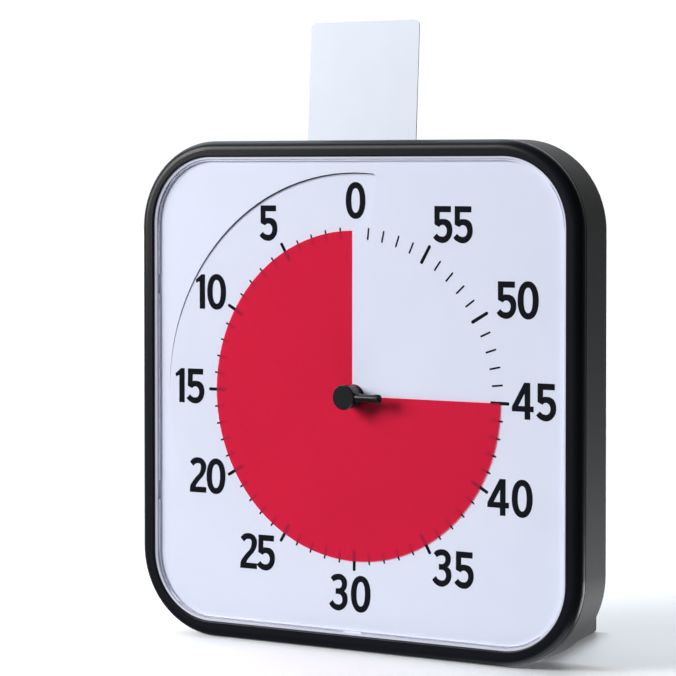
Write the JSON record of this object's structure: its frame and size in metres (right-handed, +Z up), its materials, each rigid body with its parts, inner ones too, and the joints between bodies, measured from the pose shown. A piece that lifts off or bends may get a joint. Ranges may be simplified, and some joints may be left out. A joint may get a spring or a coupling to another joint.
{
  "type": "visual countdown timer",
  "caption": "Square free-standing countdown timer: a red disc winds out of a slit in a white dial, set by a centre knob, with a card slot on top and swing-out feet.",
  "frame": {"origin": "on the floor under the middle of the case: halfway across its width and halfway through its depth", "axes": "+X to the right and +Z up as seen from the front, +Y from the dial to the back"},
  "size_m": [0.3044, 0.1492, 0.3754],
  "materials": {
    "bezel_plastic": "fine satin black moulding",
    "case_plastic": "matte textured black moulding",
    "clear_lens": "clear acrylic sheet",
    "dial_white": "matte white printed sheet",
    "frame_white": "satin white moulding",
    "disc_red": "matte red plastic film",
    "knob_black": "smooth black moulding",
    "tip_rubber": "matte black rubber",
    "steel": "bright steel",
    "spring_steel": "spring steel",
    "gear_plastic": "natural acetal",
    "magnet": "sintered magnet",
    "soft_iron": "soft-iron plate",
    "copper": "enamelled copper winding",
    "movement_black": "black moulding",
    "movement_grey": "grey moulding",
    "board_green": "solder-masked board",
    "chip_black": "epoxy package",
    "brass": "bright brass",
    "cell_jacket": "plain printed jacket",
    "card_white": "glossy dry-erase card",
    "foot_plastic": "matte black moulding",
    "pad_rubber": "soft black rubber",
    "switch_grey": "grey moulding"
  },
  "bodies": {
    "case": {"front_bezel": "bezel_plastic", "lens_cover": "clear_lens", "dial_frame": "frame_white", "dial_plate": "dial_white", "stator": "soft_iron", "coil": "copper", "movement_plate": "movement_grey", "movement_housing": "movement_black", "movement_cover": "movement_black", "plate_screws": "steel", "movement_screws": "steel", "cover_screws": "steel", "circuit_board": "board_green", "board_chip": "chip_black", "crystal": "steel", "buzzer": "brass", "contact_leaf": "spring_steel", "battery_cell": "cell_jacket", "battery_contact": "spring_steel", "battery_spring": "spring_steel", "rear_case": "case_plastic", "case_screws": "steel", "switch_base": "chip_black", "card_pocket": "movement_grey", "foot_pins": "steel"},
    "knob": {"setting_knob": "knob_black", "lever_tip": "tip_rubber", "arbor": "steel", "arbor_clip": "spring_steel", "clutch_spring": "spring_steel", "hub_sleeve": "movement_black", "alarm_cam": "gear_plastic"},
    "disc": {"red_disc": "disc_red", "disc_collar": "movement_black"},
    "centre_wheel": {"centre_wheel": "gear_plastic"},
    "third_wheel": {"third_wheel": "gear_plastic"},
    "rotor": {"rotor_pinion": "gear_plastic", "rotor_magnet": "magnet"},
    "foot_right": {"foot_right": "foot_plastic", "foot_pad_right": "pad_rubber"},
    "foot_left": {"foot_left": "foot_plastic", "foot_pad_left": "pad_rubber"},
    "card": {"dry_erase_card": "card_white"},
    "battery_door": {"battery_door": "case_plastic"},
    "sound_switch": {"sound_switch": "switch_grey"}
  },
  "joints": [
    {"name": "knob_turn", "type": "hinge", "parent": "case", "child": "knob", "pos_m": [0, 0, 0.1522], "axis": [0, -1, 0], "range_deg": [-270, 90]},
    {"name": "disc_climb", "type": "slide", "parent": "knob", "child": "disc", "axis": [0, -1, 0], "range_m": [-0.0015, 0.0005]},
    {"name": "centre_wheel_turn", "type": "hinge", "parent": "case", "child": "centre_wheel", "pos_m": [0, 0, 0.1522], "axis": [0, -1, 0], "continuous": true},
    {"name": "third_wheel_turn", "type": "hinge", "parent": "case", "child": "third_wheel", "pos_m": [-0.0099, 0, 0.1621], "axis": [0, -1, 0], "continuous": true},
    {"name": "rotor_turn", "type": "hinge", "parent": "case", "child": "rotor", "pos_m": [0.00138, 0, 0.1662], "axis": [0, -1, 0], "continuous": true},
    {"name": "foot_right_fold", "type": "hinge", "parent": "case", "child": "foot_right", "pos_m": [0.11, 0.015, 0], "axis": [0, 0, 1], "range_deg": [0, 80]},
    {"name": "foot_left_fold", "type": "hinge", "parent": "case", "child": "foot_left", "pos_m": [-0.11, 0.015, 0], "axis": [0, 0, -1], "range_deg": [0, 80]},
    {"name": "card_lift", "type": "slide", "parent": "case", "child": "card", "axis": [0, 0.061, 0.9981], "range_m": [0, 0.03]},
    {"name": "battery_door_swing", "type": "hinge", "parent": "case", "child": "battery_door", "pos_m": [0, 0.01775, 0.1005], "axis": [-1, 0, 0], "range_deg": [0, 95]},
    {"name": "sound_switch_slide", "type": "slide", "parent": "case", "child": "sound_switch", "axis": [1, 0, 0], "range_m": [0, 0.004]}
  ],
  "couplings": [
    {"joint": "disc_climb", "follows": "knob_turn", "m_per_rad": 0.00031831},
    {"joint": "third_wheel_turn", "follows": "centre_wheel_turn", "ratio": -6},
    {"joint": "rotor_turn", "follows": "centre_wheel_turn", "ratio": 30}
  ]
}
